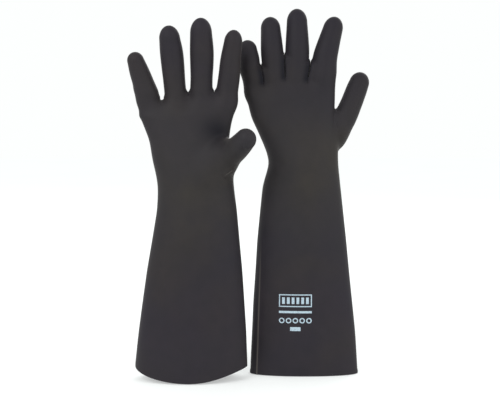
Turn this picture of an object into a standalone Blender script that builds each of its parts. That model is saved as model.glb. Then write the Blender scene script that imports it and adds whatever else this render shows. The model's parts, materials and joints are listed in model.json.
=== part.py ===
"""A pair of long rubber gauntlet gloves, standing on their cuff rims with the fingers up.

The right glove shows its palm to the front (-Y) and the left glove shows its back. Each glove is one
skin of rubber. It is divided where it bends: a gauntlet up to the wrist, a hand, and a base and a tip
for each digit. Every division has its hinge line on the palm side of the skin, so a digit that curls
opens the skin over its knuckle and never pushes into the piece below.

The tables are in millimetres. Each glove has its own axes: x across from the middle of the cuff rim,
bow from the glove's mid-plane towards its palm, and z up from the rim.
"""

import math
from collections import namedtuple

import bmesh
import bpy
from mathutils import Matrix, Vector

Section = namedtuple("Section", "z x half_width half_depth squareness", defaults=[2.0])
Station = namedtuple("Station", "x bow z half_width half_depth")
Digit = namedtuple("Digit", "name knuckle stations facing", defaults=[(0.0, 0.0, 1.0)])
Rim = namedtuple("Rim", "rise left_power right_power")
Glove = namedtuple("Glove", "side palm_sign place cuff hand rim digits")

MM = 0.001
WALL = 1.5
GAP = 0.3
HEM = 1.5
POST_DEPTH = 26.0
WEB_DEPTH = 3.0
CUFF_SIDES = 24
DIGIT_SIDES = 12
BACK_FLAT = 0.7
BASE_SHARES = (0.4, 0.7)
TIP_SHARES = (0.4, 0.75, 1.0)
TIP_LEANS = (math.radians(35), math.radians(65))
TURNED_BY = 0.8
TANGENT_STEP = 0.02
TINY = 1e-9
RUBBER = (0.040, 0.038, 0.042)
ROUGHNESS = 0.62
HAND_SHADE = 1.15
DIGIT_SHADE = 1.3

RIGHT = Glove(
    side="right",
    palm_sign=-1,
    place=(-74.2, 9.2),
    cuff=[
        Section(0, 0.0, 70.3, 32.0),
        Section(18, 0.0, 70.3, 32.0),
        Section(61, 1.8, 67.0, 31.0),
        Section(99, 3.2, 63.2, 30.0),
        Section(137, 4.7, 59.3, 29.5),
        Section(174, 6.3, 54.4, 29.0),
        Section(212, 7.9, 49.5, 28.0),
        Section(240, 6.9, 46.9, 27.0),
    ],
    hand=[
        Section(240, 6.9, 46.9, 27.0),
        Section(256, 5.0, 47.5, 26.0),
        Section(274, 1.7, 48.4, 24.5),
        Section(298, -1.2, 48.9, 21.5, 2.1),
        Section(323, -4.2, 55.6, 18.0, 2.6),
        Section(354, -4.3, 63.1, 14.2, 3.2),
    ],
    rim=Rim(rise=16.0, left_power=0.75, right_power=1.6),
    digits=[
        Digit("little", 1.4, [
            Station(-52.0, 0.8, 354, 13.9, 11.8),
            Station(-57.0, 2.6, 369, 12.7, 12.0),
            Station(-61.2, 4.5, 381, 12.2, 11.4),
            Station(-65.6, 8.0, 395.3, 10.2, 9.6),
        ]),
        Digit("ring", 1.45, [
            Station(-17.7, 0.6, 354, 13.3, 13.0),
            Station(-19.3, 2.5, 374, 13.3, 12.6),
            Station(-21.6, 6.0, 403, 14.3, 12.9),
            Station(-24.2, 12.0, 424.7, 12.2, 11.2),
        ]),
        Digit("middle", 1.5, [
            Station(13.9, 0.6, 354, 14.0, 13.4),
            Station(14.5, 2.5, 376, 13.4, 12.8),
            Station(15.1, 6.0, 403, 14.8, 13.3),
            Station(14.0, 12.0, 433.4, 12.9, 11.8),
        ]),
        Digit("index", 1.35, [
            Station(44.9, 0.7, 354, 13.6, 11.8),
            Station(48.3, 3.0, 378, 13.2, 12.4),
            Station(49.6, 5.5, 396, 12.3, 11.7),
            Station(53.8, 10.0, 421, 10.6, 10.0),
        ]),
        Digit("thumb", 1.0, [
            Station(44.0, 16.0, 281, 19.0, 15.0),
            Station(57.0, 36.0, 288.5, 15.6, 14.4),
            Station(68.8, 62.0, 301.3, 12.8, 12.0),
        ], facing=(0.62, -0.74, 0.25)),
    ],
)

LEFT = Glove(
    side="left",
    palm_sign=1,
    place=(68.4, 37.2),
    cuff=[
        Section(0, 0.0, 68.8, 20.5),
        Section(HEM, 0.0, 68.8, 20.5),
        Section(55, -0.8, 65.8, 24.0),
        Section(94, -2.0, 62.9, 26.0),
        Section(133, -2.7, 59.4, 27.5),
        Section(171, -3.6, 56.4, 28.0),
        Section(209, -4.0, 52.5, 28.0),
        Section(240, -4.2, 49.1, 27.5),
        Section(270, -1.5, 43.3, 26.5),
    ],
    hand=[
        Section(270, -1.5, 43.3, 26.5),
        Section(285, -3.7, 45.3, 24.5, 2.1),
        Section(308, -9.4, 49.6, 21.5, 2.4),
        Section(330, -15.6, 52.3, 18.5, 2.7),
        Section(352, -18.4, 55.7, 15.8, 3.0),
        Section(373, -20.6, 59.0, 14.4, 3.2),
    ],
    rim=Rim(rise=0.0, left_power=1.0, right_power=1.0),
    digits=[
        Digit("little", 1.6, [
            Station(-66.3, 0.4, 373, 12.7, 11.8),
            Station(-69.5, 1.8, 386, 12.9, 12.3),
            Station(-70.0, 3.0, 398, 13.0, 12.0),
            Station(-72.2, 6.0, 411.0, 11.3, 10.5),
        ]),
        Digit("ring", 2.0, [
            Station(-38.2, 0.4, 373, 12.3, 13.0),
            Station(-39.9, 1.8, 386, 13.2, 13.0),
            Station(-41.2, 3.5, 406, 14.2, 13.2),
            Station(-43.3, 8.0, 439.2, 12.1, 11.3),
        ]),
        Digit("middle", 2.0, [
            Station(-11.6, 0.4, 373, 12.8, 13.2),
            Station(-10.6, 1.8, 386, 14.3, 13.4),
            Station(-9.8, 3.5, 408, 15.3, 13.8),
            Station(-10.3, 8.0, 448.9, 12.6, 11.8),
        ]),
        Digit("index", 2.0, [
            Station(20.2, 0.4, 373, 16.4, 12.6),
            Station(22.5, 1.8, 386, 16.0, 13.4),
            Station(25.4, 3.5, 404, 15.3, 13.4),
            Station(35.6, 7.0, 439.5, 12.0, 11.4),
        ]),
        Digit("thumb", 1.8, [
            Station(42.5, 4.5, 308, 18.5, 13.5),
            Station(52.5, 6.5, 325, 16.2, 13.6),
            Station(60.0, 9.0, 346, 14.2, 13.4),
            Station(69.1, 14.0, 370.4, 12.6, 11.8),
        ], facing=(0.98, 0.0, 0.2)),
    ],
)


def clear_scene():
    for obj in list(bpy.data.objects):
        bpy.data.objects.remove(obj, do_unlink=True)


def new_collection(name):
    collection = bpy.data.collections.new(name)
    bpy.context.scene.collection.children.link(collection)
    return collection


def new_material(name, shade):
    """A matt rubber; shade lightens the colour a little so that neighbouring pieces can be told apart."""
    material = bpy.data.materials.new(name)
    material.use_nodes = True
    shader = material.node_tree.nodes["Principled BSDF"]
    colour = [channel * shade for channel in RUBBER]
    shader.inputs["Base Color"].default_value = (*colour, 1.0)
    shader.inputs["Roughness"].default_value = ROUGHNESS
    shader.inputs["Metallic"].default_value = 0.0
    return material


def place_point(glove, x, bow, z):
    return Vector((glove.place[0] + x, glove.place[1] + glove.palm_sign * bow, z))


def curve_value(values, at):
    """A smooth curve through evenly numbered values; at runs from 0 to the last number."""
    first = min(int(at), len(values) - 2)
    t = at - first
    before = values[max(first - 1, 0)]
    start = values[first]
    end = values[first + 1]
    after = values[min(first + 2, len(values) - 1)]
    return (
        start
        + (end - before) * (0.5 * t)
        + (before * 2 - start * 5 + end * 4 - after) * (0.5 * t * t)
        + (start * 3 - before - end * 3 + after) * (0.5 * t * t * t)
    )


def directions(facing):
    """The width and depth directions of a ring that faces this way; on an upright finger, +X and +Y."""
    across = Vector((0, 1, 0)).cross(facing).normalized()
    return across, facing.cross(across)


def ring(centre, facing, half_width, half_depth, sides):
    across, depth = directions(facing)
    turns = [2 * math.pi * i / sides for i in range(sides)]
    return [
        centre + across * (half_width * math.cos(a)) + depth * (half_depth * math.sin(a))
        for a in turns
    ]


def level_ring(glove, section, inset=0.0):
    """A level outline of the cuff or hand: an oval, with fuller corners where its squareness is above 2."""
    centre = place_point(glove, section.x, 0, section.z)
    points = []
    for i in range(CUFF_SIDES):
        angle = 2 * math.pi * i / CUFF_SIDES
        across = rounded(math.cos(angle), section.squareness)
        depth = rounded(math.sin(angle), section.squareness)
        half_width = section.half_width - inset
        half_depth = section.half_depth - inset
        points.append(centre + Vector((half_width * across, half_depth * depth, 0)))
    return points


def rounded(share, squareness):
    """A share of a half size, moved outwards for a fuller corner."""
    return math.copysign(abs(share) ** (2 / squareness), share) if abs(share) > TINY else 0.0


def loft(name, rings, close_start=False, close_end=False, pole=None):
    """A skin through the rings, in metres. A pole closes the last ring to a point."""
    shape = bmesh.new()
    rows = [[shape.verts.new(point * MM) for point in points] for points in rings]
    sides = len(rows[0])
    for low, high in zip(rows, rows[1:]):
        for i in range(sides):
            j = (i + 1) % sides
            shape.faces.new((low[i], low[j], high[j], high[i]))
    if close_start:
        shape.faces.new(rows[0][::-1])
    if close_end:
        shape.faces.new(rows[-1])
    if pole is not None:
        top = shape.verts.new(pole * MM)
        for i in range(sides):
            shape.faces.new((rows[-1][i], rows[-1][(i + 1) % sides], top))
    bmesh.ops.recalc_face_normals(shape, faces=shape.faces)
    mesh = bpy.data.meshes.new(name)
    shape.to_mesh(mesh)
    shape.free()
    return mesh


def new_object(name, mesh, collection, origin=None, parent=None):
    """An object with its origin at the given point, in millimetres, under its parent."""
    obj = bpy.data.objects.new(name, mesh)
    collection.objects.link(obj)
    if origin is not None:
        mesh.transform(Matrix.Translation(-origin * MM))
        obj.location = origin * MM
    if parent is not None:
        obj.parent = parent
        obj.location = obj.location - world_place(parent)
    return obj


def world_place(obj):
    place = Vector(obj.location)
    while obj.parent is not None:
        obj = obj.parent
        place += obj.location
    return place


def add_wall(obj):
    wall = obj.modifiers.new("rubber wall", "SOLIDIFY")
    wall.thickness = WALL * MM
    wall.offset = -1.0
    wall.use_even_offset = True


def finish_skin(obj, material):
    obj.data.materials.append(material)
    obj.data.shade_smooth()


def add_boolean(obj, cutter, operation):
    cut = obj.modifiers.new(cutter.name, "BOOLEAN")
    cut.operation = operation
    cut.solver = "EXACT"
    cut.object = cutter


def new_cutter(name, mesh, cutters):
    cutter = new_object(name, mesh, cutters)
    cutter.hide_render = True
    cutter.display_type = "WIRE"
    return cutter


def wrist_hinge(glove):
    """The middle of the wrist's hinge line, on the palm side of the skin."""
    wrist = glove.hand[0]
    return place_point(glove, wrist.x, wrist.half_depth, wrist.z)


def rim_height(glove, angle):
    """How far the cuff rim stands above its lowest point: level at the back, a hanging lip in front."""
    rim = glove.rim
    if math.sin(angle) > -TINY:
        beyond = max(abs(math.cos(angle)) - BACK_FLAT, 0.0) / (1 - BACK_FLAT)
        return rim.rise * beyond**2
    power = rim.left_power if math.cos(angle) < 0 else rim.right_power
    return rim.rise * (1 - abs(math.sin(angle)) ** (2 * power))


def rim_ring(glove):
    points = level_ring(glove, glove.cuff[0])
    for i, point in enumerate(points):
        point.z += rim_height(glove, 2 * math.pi * i / CUFF_SIDES)
    return points


def make_gauntlet(glove, collection, material):
    rings = [rim_ring(glove)]
    rings += [level_ring(glove, section) for section in glove.cuff[1:-1]]
    wrist = glove.cuff[-1]
    rings += [level_ring(glove, wrist._replace(z=wrist.z - drop)) for drop in (HEM, GAP)]
    mesh = loft(f"{glove.side}_gauntlet", rings)
    gauntlet = new_object(f"{glove.side}_gauntlet", mesh, collection)
    add_wall(gauntlet)
    finish_skin(gauntlet, material)
    return gauntlet


def station_at(glove, digit, at):
    """The centre, facing, half width and half depth of a digit at a place along it.

    The facing turns from the root's own one to the line of the digit before the second station.
    """
    centres = [place_point(glove, s.x, s.bow, s.z) for s in digit.stations]
    centre = curve_value(centres, at)
    last = len(centres) - 1
    ahead = curve_value(centres, min(at + TANGENT_STEP, last))
    behind = curve_value(centres, max(at - TANGENT_STEP, 0))
    along = (ahead - behind).normalized()
    root = Vector(digit.facing).normalized()
    facing = root.lerp(along, min(at / TURNED_BY, 1.0)).normalized()
    half_width = curve_value([s.half_width for s in digit.stations], at)
    half_depth = curve_value([s.half_depth for s in digit.stations], at)
    return centre, facing, half_width, half_depth


def straight_end(station, first, second):
    """Two rings of one size, this far along the station's facing: a short straight hem."""
    centre, facing, half_width, half_depth = station
    return [
        ring(centre + facing * along, facing, half_width, half_depth, DIGIT_SIDES)
        for along in (first, second)
    ]


def digit_ring(glove, digit, at):
    return ring(*station_at(glove, digit, at), DIGIT_SIDES)


def hinge_of(glove, digit, at):
    """The hinge's point, on the palm side of the skin, and its axis: a positive turn curls the digit."""
    centre, facing, _, half_depth = station_at(glove, digit, at)
    _, depth = directions(facing)
    palm = depth * glove.palm_sign
    return centre + palm * half_depth, facing.cross(palm)


def make_digit_base(glove, digit, hand, collection, material):
    name = f"{glove.side}_{digit.name}_base"
    root = station_at(glove, digit, 0)
    knuckle = station_at(glove, digit, digit.knuckle)
    rings = straight_end(root, GAP, GAP + HEM)
    rings += [digit_ring(glove, digit, digit.knuckle * share) for share in BASE_SHARES]
    rings += straight_end(knuckle, -GAP / 2 - HEM, -GAP / 2)
    origin, _ = hinge_of(glove, digit, 0)
    base = new_object(name, loft(name, rings), collection, origin, hand)
    add_wall(base)
    finish_skin(base, material)
    return base


def make_digit_tip(glove, digit, base, collection, material):
    name = f"{glove.side}_{digit.name}_tip"
    knuckle = station_at(glove, digit, digit.knuckle)
    last = len(digit.stations) - 1
    rings = straight_end(knuckle, GAP / 2, GAP / 2 + HEM)
    for share in TIP_SHARES:
        at = digit.knuckle + (last - digit.knuckle) * share
        rings.append(digit_ring(glove, digit, at))
    centre, facing, half_width, half_depth = station_at(glove, digit, last)
    for lean in TIP_LEANS:
        ahead = centre + facing * (half_width * math.sin(lean))
        narrow = math.cos(lean)
        rings.append(ring(ahead, facing, half_width * narrow, half_depth * narrow, DIGIT_SIDES))
    pole = centre + facing * half_width
    origin, _ = hinge_of(glove, digit, digit.knuckle)
    tip = new_object(name, loft(name, rings, pole=pole), collection, origin, base)
    add_wall(tip)
    finish_skin(tip, material)
    return tip


def make_hand_body(glove, name, inset, bottom, top):
    """The closed outline of wrist, palm and back of the hand, drawn in by inset on every side."""
    rings = [level_ring(glove, glove.hand[0]._replace(z=bottom), inset)]
    rings += [level_ring(glove, section, inset) for section in glove.hand[1:-1]]
    rings.append(level_ring(glove, glove.hand[-1]._replace(z=top), inset))
    return loft(name, rings, close_start=True, close_end=True)


def post_mesh(glove, digit, name, inset, behind, ahead):
    """A straight oval post along a digit's facing, from behind its root ring to ahead of it."""
    centre, facing, half_width, half_depth = station_at(glove, digit, 0)
    rings = [
        ring(centre + facing * along, facing, half_width - inset, half_depth - inset, DIGIT_SIDES)
        for along in (-behind, ahead)
    ]
    return loft(name, rings, close_start=True, close_end=True)


def make_hand(glove, gauntlet, collection, cutters, material):
    name = f"{glove.side}_hand"
    bottom = glove.hand[0].z
    top = glove.hand[-1].z
    body = make_hand_body(glove, name, 0.0, bottom, top)
    hand = new_object(name, body, collection, wrist_hinge(glove), gauntlet)
    thumb = next(digit for digit in glove.digits if digit.name == "thumb")
    post = post_mesh(glove, thumb, "post", 0.0, POST_DEPTH, 0.0)
    add_boolean(hand, new_cutter(f"{name}_thumb_post", post, cutters), "UNION")
    core = make_hand_body(glove, "core", WALL, bottom - WEB_DEPTH, top - WALL)
    add_boolean(hand, new_cutter(f"{name}_core", core, cutters), "DIFFERENCE")
    for digit in glove.digits:
        behind = POST_DEPTH if digit is thumb else WEB_DEPTH
        bore = post_mesh(glove, digit, "bore", WALL, behind, WEB_DEPTH)
        add_boolean(hand, new_cutter(f"{name}_{digit.name}_bore", bore, cutters), "DIFFERENCE")
    finish_skin(hand, material)
    return hand


def make_glove(glove, collection, cutters):
    cuff_skin = new_material(f"{glove.side} gauntlet rubber", 1.0)
    gauntlet = make_gauntlet(glove, collection, cuff_skin)
    hand_skin = new_material(f"{glove.side} hand rubber", HAND_SHADE)
    hand = make_hand(glove, gauntlet, collection, cutters, hand_skin)
    for digit in glove.digits:
        skin = new_material(f"{glove.side} {digit.name} rubber", DIGIT_SHADE)
        base = make_digit_base(glove, digit, hand, collection, skin)
        make_digit_tip(glove, digit, base, collection, skin)


def main():
    clear_scene()
    collection = new_collection("rubber gauntlet gloves")
    cutters = new_collection("cutters")
    for glove in (RIGHT, LEFT):
        make_glove(glove, collection, cutters)


main()
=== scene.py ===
"""The looks of a pair of long black rubber gauntlet gloves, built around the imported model.

Each glove is one dipped skin of rubber. Its shape is read from the frame's plain solids as a set of level
sections of the cuff and hand and as rings along each digit. Those make one smooth field, which is zero on the
skin, so that every zone of the glove, from the rim to the fingertips, meets the next with no step:

- the gauntlet is rings of points on the field, up to a seam below the wrist
- the hand and the thumb are a net drawn over the field, cut at the seams
- each finger is rings of points on the field, from its root to its round tip

Every piece is a closed shell of the rubber's thickness. Lengths are in millimetres until a mesh is made.
"""

import json
import math
from types import SimpleNamespace

import bmesh
import bpy
import numpy as np
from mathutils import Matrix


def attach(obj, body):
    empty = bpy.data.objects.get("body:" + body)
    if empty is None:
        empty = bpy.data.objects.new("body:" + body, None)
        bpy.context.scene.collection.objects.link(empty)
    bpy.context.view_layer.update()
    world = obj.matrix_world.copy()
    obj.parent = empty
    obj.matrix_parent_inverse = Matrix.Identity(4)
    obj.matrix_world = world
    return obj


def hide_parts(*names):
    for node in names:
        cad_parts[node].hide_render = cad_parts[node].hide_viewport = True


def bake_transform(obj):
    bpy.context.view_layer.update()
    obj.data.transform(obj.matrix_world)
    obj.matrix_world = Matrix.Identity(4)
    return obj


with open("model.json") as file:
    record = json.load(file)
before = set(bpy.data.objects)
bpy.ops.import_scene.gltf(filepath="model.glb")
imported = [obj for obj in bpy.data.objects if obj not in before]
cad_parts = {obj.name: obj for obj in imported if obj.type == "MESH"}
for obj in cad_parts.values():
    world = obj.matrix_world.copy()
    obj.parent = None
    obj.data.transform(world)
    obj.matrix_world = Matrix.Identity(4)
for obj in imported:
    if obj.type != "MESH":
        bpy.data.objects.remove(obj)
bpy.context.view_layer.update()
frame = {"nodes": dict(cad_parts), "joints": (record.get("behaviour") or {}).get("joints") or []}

MM = 0.001
WALL = 1.5
FINGERS = ("little", "ring", "middle", "index")
UP = np.array((0.0, 0.0, 1.0))

# How the solids are read
HINGE_CLEAR = 5.0
END_FLATNESS = 1.0
BASE_SHARES = np.linspace(0.03, 0.96, 9)
TIP_SHARES = np.linspace(0.05, 0.78, 8)
RING_PITCH = 2.0
LEAST_DOME = 6.0
BEHIND_FINGER = 34.0
BEHIND_THUMB = 26.0
FIRST_SECTION = 19.0
SECTION_STEP = 4.0
WRIST_CLEAR = 2.0
MIDLINE_BELOW = 30.0
MIDLINE_ABOVE = 90.0
MIDLINE_ROWS = 61

# How the skin is drawn
NET_STEP = 1.4
RING_STEP = 1.6
FINGER_COLUMNS = 64
CUFF_COLUMNS = 240
CUFF_ROW = 2.6
RIM_TUCK = 4.5
HEM_HEIGHT = 4.5
LIP_ROWS = 4
DOME_ROWS = 9
SLOPE_STEP = 0.12
FAR = 60.0
NEAR = 34.0
TAIL = 8.0
TAPER = 0.55

# Where one piece ends and the next begins
CUT_MERGE = 0.05
CUT_ROOM = 4.0
SEAM_BELOW_WRIST = 28.0
FINGER_SEAM = 3.0
KNUCKLE_BEND = 12.0
KNUCKLE_SHARE = 0.38
LEAST_RINGS = 5
THUMB_REACH = 9.0
THUMB_NEAR = 8.0
THUMB_ROOM = 22.0
NET_ROWS_BELOW = 8.0
NET_SIDE_ROOM = 6.0
NET_DEPTH_ROOM = 4.0

# The hand's shape between the digits, in which 2 is an oval and more is squarer
CUFF_SQUARENESS = 2.15
KNUCKLE_SQUARENESS = 3.0
KNUCKLE_LENGTH = 26.0
WEB_MARGIN = 1.5
WEB_FADE = 12.0
GROOVE = 0.06
GROOVE_EDGE = 0.9

# What differs between the gloves. A palm of -1 faces -Y, the camera's side. A place is (x, z). The rows are
#   thumb_fillet: height, fillet
#   thumb_slim: distance from the thumb's root, how much narrower it is there
#   creases: start, end, height, half width
#   hollows: place, half width, height
#   painted_shade: x, z, half width, half height, amount of painted shade
#   side_bumps: side, z, half height, how far it stands out
LOOKS = {
    "right": SimpleNamespace(
        palm=-1,
        web_drop=(6.3, 1.0, 0.0),
        web_tops=(351.0, 355.5, 357.0),
        web_fillet=12.0,
        thumb_fillet=((282.0, 20.0), (304.0, 9.0)),
        thumb_slim=((0.0, 0.0), (60.0, 0.0)),
        thumb_root_seam=8.0,
        thumb_knuckle_seam=-6.0,
        mound=SimpleNamespace(
            offset=(-15.5, 5.0, -17.0), along=(0.45, -0.15, 0.9), sizes=(17.0, 14.0, 32.0), fillet=18.0
        ),
        creases=[((-22.5, 261.7), (-33.3, 254.4), -0.8, 1.2), ((-22.5, 261.7), (-33.3, 254.4), 1.4, 3.2)],
        crease_fade=6.0,
        crease_ends=True,
        hollows=[((-46.0, 312.0), 13.0, -3.0)],
        # Spots of painted shade: the palm's hollow by the thumb, and below the thumb's crease
        painted_shade=[
            (-43.6, 310.5, 15.0, 14.0, 0.62),
            (-35.0, 309.0, 12.0, 9.0, 0.3),
            (-59.0, 243.0, 14.0, 12.0, 0.15),
        ],
        groove_shade=0.0,
        side_bumps=[
            (-1, 327.0, 4.5, 1.1),
            (-1, 336.0, 7.0, -1.4),
            (-1, 356.0, 8.0, 1.5),
            (1, 338.0, 14.0, 1.5),
        ],
        upper_darkening=0.05,
        hem_proud=0.0,
    ),
    "left": SimpleNamespace(
        palm=1,
        web_drop=(7.0, 0.8, 3.0),
        web_tops=(384.0, 398.0, 391.0),
        web_fillet=17.0,
        thumb_fillet=((305.0, 22.0), (338.0, 6.0)),
        thumb_slim=((0.0, 0.0), (14.0, 4.2), (26.0, 3.4), (42.0, 0.6), (58.0, -0.6), (76.0, -0.6)),
        thumb_root_seam=5.0,
        thumb_knuckle_seam=2.0,
        mound=SimpleNamespace(
            offset=(-16.0, 2.0, -14.0), along=(0.45, 0.05, 0.9), sizes=(16.0, 14.0, 34.0), fillet=14.0
        ),
        creases=[((13.7, 183.0), (7.1, -20.0), 0.9, 1.9)],
        crease_fade=3.0,
        crease_ends=False,
        hollows=[],
        painted_shade=[],
        groove_shade=0.8,
        side_bumps=[(1, 376.0, 14.0, 1.7), (-1, 363.0, 9.0, -1.8), (-1, 324.0, 12.0, 1.0)],
        upper_darkening=0.22,
        hem_proud=0.45,
    ),
}


# ----- Reading the frame's plain solids -----

def read_node(name):
    """The corners of a CAD node and the pairs of corners that its edges join."""
    mesh = frame["nodes"][name].data
    points = np.empty(len(mesh.vertices) * 3)
    mesh.vertices.foreach_get("co", points)
    ends = np.empty(len(mesh.edges) * 2, int)
    mesh.edges.foreach_get("vertices", ends)
    return points.reshape(-1, 3) / MM, ends.reshape(-1, 2)


def slice_node(node, point, normal):
    """Where a plane crosses the edges of a node."""
    points, ends = node
    height = (points - point) @ normal
    low, high = height[ends[:, 0]], height[ends[:, 1]]
    crossed = (low < 0) != (high < 0)
    share = (low[crossed] / (low[crossed] - high[crossed]))[:, None]
    return points[ends[crossed, 0]] * (1 - share) + points[ends[crossed, 1]] * share


def joint_of(name):
    joint = next(j for j in frame["joints"] if j["name"] == name)
    return np.array(joint["pos_m"]) / MM, np.array(joint["axis"], float)


def unit(vector):
    return vector / np.linalg.norm(vector)


def smooth_rows(values, rounds):
    """Softens the corners of a table of rows, with its first and last rows kept."""
    for _ in range(rounds):
        middle = (values[:-2] + 2 * values[1:-1] + values[2:]) / 4
        values = np.vstack([values[:1], middle, values[-1:]])
    return values


def hinge_end(joint, node):
    """The flat end of a node at its hinge: its middle and the way it faces, with the hinge's axis."""
    place, axis = joint_of(joint)
    axis = unit(axis)
    offsets = node[0] - place
    flat = offsets - np.outer(offsets @ axis, axis)
    flat = flat[np.linalg.norm(flat, axis=1) > HINGE_CLEAR]
    towards = unit(flat.mean(0))
    sideways = np.cross(axis, towards)
    angles = np.arctan2(flat @ sideways, flat @ towards)
    back = unit(flat[np.argmin(angles)])
    facing = np.cross(axis, back)
    end = node[0][np.abs((node[0] - place) @ facing) < END_FLATNESS]
    middle = (end.min(0) + end.max(0)) / 2
    return middle, facing, axis


def ring_sizes(points, across, depth):
    """The middle of a slice in the two directions, and its half width and half depth."""
    u, v = points @ across, points @ depth
    middle = across * (u.min() + u.max()) / 2 + depth * (v.min() + v.max()) / 2
    return middle, (u.max() - u.min()) / 2, (v.max() - v.min()) / 2


def read_digit(side, name):
    """Rings along a digit, from its root to where its round tip begins."""
    base, tip = read_node(f"{side}_{name}_base"), read_node(f"{side}_{name}_tip")
    root, root_facing, axis = hinge_end(f"{side}_{name}_root", base)
    knuckle, knuckle_facing, _ = hinge_end(f"{side}_{name}_knuckle", tip)
    pole = tip[0][np.argmax(np.linalg.norm(tip[0] - knuckle, axis=1))]
    rows = []
    spans = (
        (base, root, root_facing, knuckle, knuckle_facing, BASE_SHARES),
        (tip, knuckle, knuckle_facing, pole, unit(pole - knuckle), TIP_SHARES),
    )
    for node, start, start_facing, end, end_facing, shares in spans:
        length = np.linalg.norm(end - start)
        for t in shares:
            bow = start_facing * (t * (1 - t) ** 2) - end_facing * (t * t * (1 - t))
            place = start + (end - start) * (t * t * (3 - 2 * t)) + bow * length
            facing = unit(start_facing * (1 - t) + end_facing * t)
            across = unit(axis - facing * (axis @ facing))
            depth = np.cross(facing, across)
            cut = slice_node(node, place, facing)
            middle, half_width, half_depth = ring_sizes(cut, across, depth)
            centre = middle + facing * (place @ facing)
            rows.append(np.concatenate([centre, facing, across, (half_width, half_depth)]))
    rows = np.array(rows)
    left = (pole - rows[:, :3]) @ unit(pole - knuckle)
    rows = smooth_rows(rows[left > rows[:, 9]], 1)
    return SimpleNamespace(
        name=name, rings=rows, root=root, facing=root_facing, knuckle=knuckle,
        knuckle_facing=knuckle_facing, pole=pole,
    )


def dense_rings(digit, behind, slim):
    """Rings at a close pitch, started this far behind the root. A thumb tapers there into the hand.

    The slim table says how much narrower a thumb is on its outer side at each distance from its root."""
    first = digit.rings[0].copy()
    first[:3] -= digit.facing * behind
    rows = np.vstack([first, digit.rings])
    along = np.concatenate([[0], np.cumsum(np.linalg.norm(np.diff(rows[:, :3], axis=0), axis=1))])
    at = np.linspace(0, along[-1], int(along[-1] / RING_PITCH) + 2)
    rows = np.column_stack([np.interp(at, along, rows[:, i]) for i in range(rows.shape[1])])
    if digit.name == "thumb":
        rows[:, 9:] *= np.interp(at, (0, behind), (TAPER, 1.0))[:, None]
        less = np.interp(at - behind, *zip(*slim)) / 2
        outer = np.sign(rows[:, 6] - rows[:, 8])
        rows[:, 9] -= less
        rows[:, :3] -= rows[:, 6:9] * (outer * less)[:, None]
    rows = smooth_rows(rows, 4)
    dome = max((digit.pole - rows[-1, :3]) @ unit(digit.pole - digit.knuckle), LEAST_DOME)
    return rows, dome


def read_glove(side):
    """Everything about one glove's shape that the frame holds."""
    look = LOOKS[side]
    cuff, hand = read_node(f"{side}_gauntlet"), read_node(f"{side}_hand")
    wrist = joint_of(f"{side}_wrist")[0][2]
    root = joint_of(f"{side}_middle_root")[0][2]
    plane = (cuff[0][:, 1].min() + cuff[0][:, 1].max()) / 2
    heights = np.concatenate([
        np.arange(FIRST_SECTION, wrist - WRIST_CLEAR, SECTION_STEP),
        np.arange(wrist + WRIST_CLEAR, root - SECTION_STEP, SECTION_STEP),
    ])
    rows = []
    for z in heights:
        cut = slice_node(cuff if z < wrist else hand, np.array((0, 0, z)), UP)
        back = cut[np.argmax(-look.palm * cut[:, 1])]
        rows.append((z, back[0], back[0] - cut[:, 0].min(), abs(back[1] - plane)))
    rows = smooth_rows(np.array(rows), 3)
    first, last = rows[0].copy(), rows[-1].copy()
    if look.palm > 0:
        low = slice_node(cuff, np.array((0, 0, 1.0)), UP)
        first[3] = (low[:, 1].max() - low[:, 1].min()) / 2
        first[2] = (low[:, 0].max() - low[:, 0].min()) / 2
        first[1] = (low[:, 0].max() + low[:, 0].min()) / 2
    first[0] = 0.0
    step = (rows[-1] - rows[-3]) / (rows[-1][0] - rows[-3][0])
    last += step * (root + FINGER_SEAM - last[0])
    rows = np.vstack([first, rows, last])
    glove = SimpleNamespace(
        side=side, look=look, plane=plane, wrist=wrist, root=root, rows=rows,
        seam=wrist - SEAM_BELOW_WRIST, top=root + FINGER_SEAM,
        digits={name: read_digit(side, name) for name in (*FINGERS, "thumb")},
        cuff=cuff,
    )
    for name, digit in glove.digits.items():
        behind = BEHIND_THUMB if name == "thumb" else BEHIND_FINGER
        digit.dense, digit.dome = dense_rings(digit, behind, look.thumb_slim)
    set_grooves(glove)
    return glove


def set_grooves(glove):
    """The line midway between each pair of fingers, as x at each height, and the height of its web."""
    levels = np.linspace(glove.root - MIDLINE_BELOW, glove.root + MIDLINE_ABOVE, MIDLINE_ROWS)
    edges = []
    for name in FINGERS:
        rings = glove.digits[name].dense
        centre = np.interp(levels, rings[:, 2], rings[:, 0])
        half = np.interp(levels, rings[:, 2], rings[:, 9])
        edges.append((centre - half, centre + half))
    glove.levels = levels
    glove.midlines = [(edges[i][1] + edges[i + 1][0]) / 2 for i in range(3)]
    glove.web_x = np.array([np.interp(glove.root, levels, line) for line in glove.midlines])
    glove.web_z = glove.root - np.array(glove.look.web_drop)


# ----- The field: about how far a point is outside the skin -----

def smooth_union(a, b, radius):
    radius = np.maximum(radius, 1e-3)
    share = np.clip(0.5 + 0.5 * (b - a) / radius, 0, 1)
    return b + (a - b) * share - radius * share * (1 - share)


def smooth_cut(a, b, radius):
    return -smooth_union(-a, -b, radius)


def section_at(glove, z):
    """The middle, half width and half depth of the cuff and palm at these heights."""
    return [np.interp(z, glove.rows[:, 0], glove.rows[:, i]) for i in (1, 2, 3)]


def body_field(glove, points):
    """The cuff, palm and back of the hand, as one tube of squared ovals."""
    x, y, z = points.T
    middle, half_width, half_depth = section_at(glove, z)
    x = x - middle
    y = y - glove.plane
    power = np.interp(z, (glove.wrist, glove.root), (CUFF_SQUARENESS, KNUCKLE_SQUARENESS))
    norm = (np.abs(x / half_width) ** power + np.abs(y / half_depth) ** power) ** (1 / power)
    return np.hypot(x, y) * (1 - 1 / np.maximum(norm, 0.01))


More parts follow.
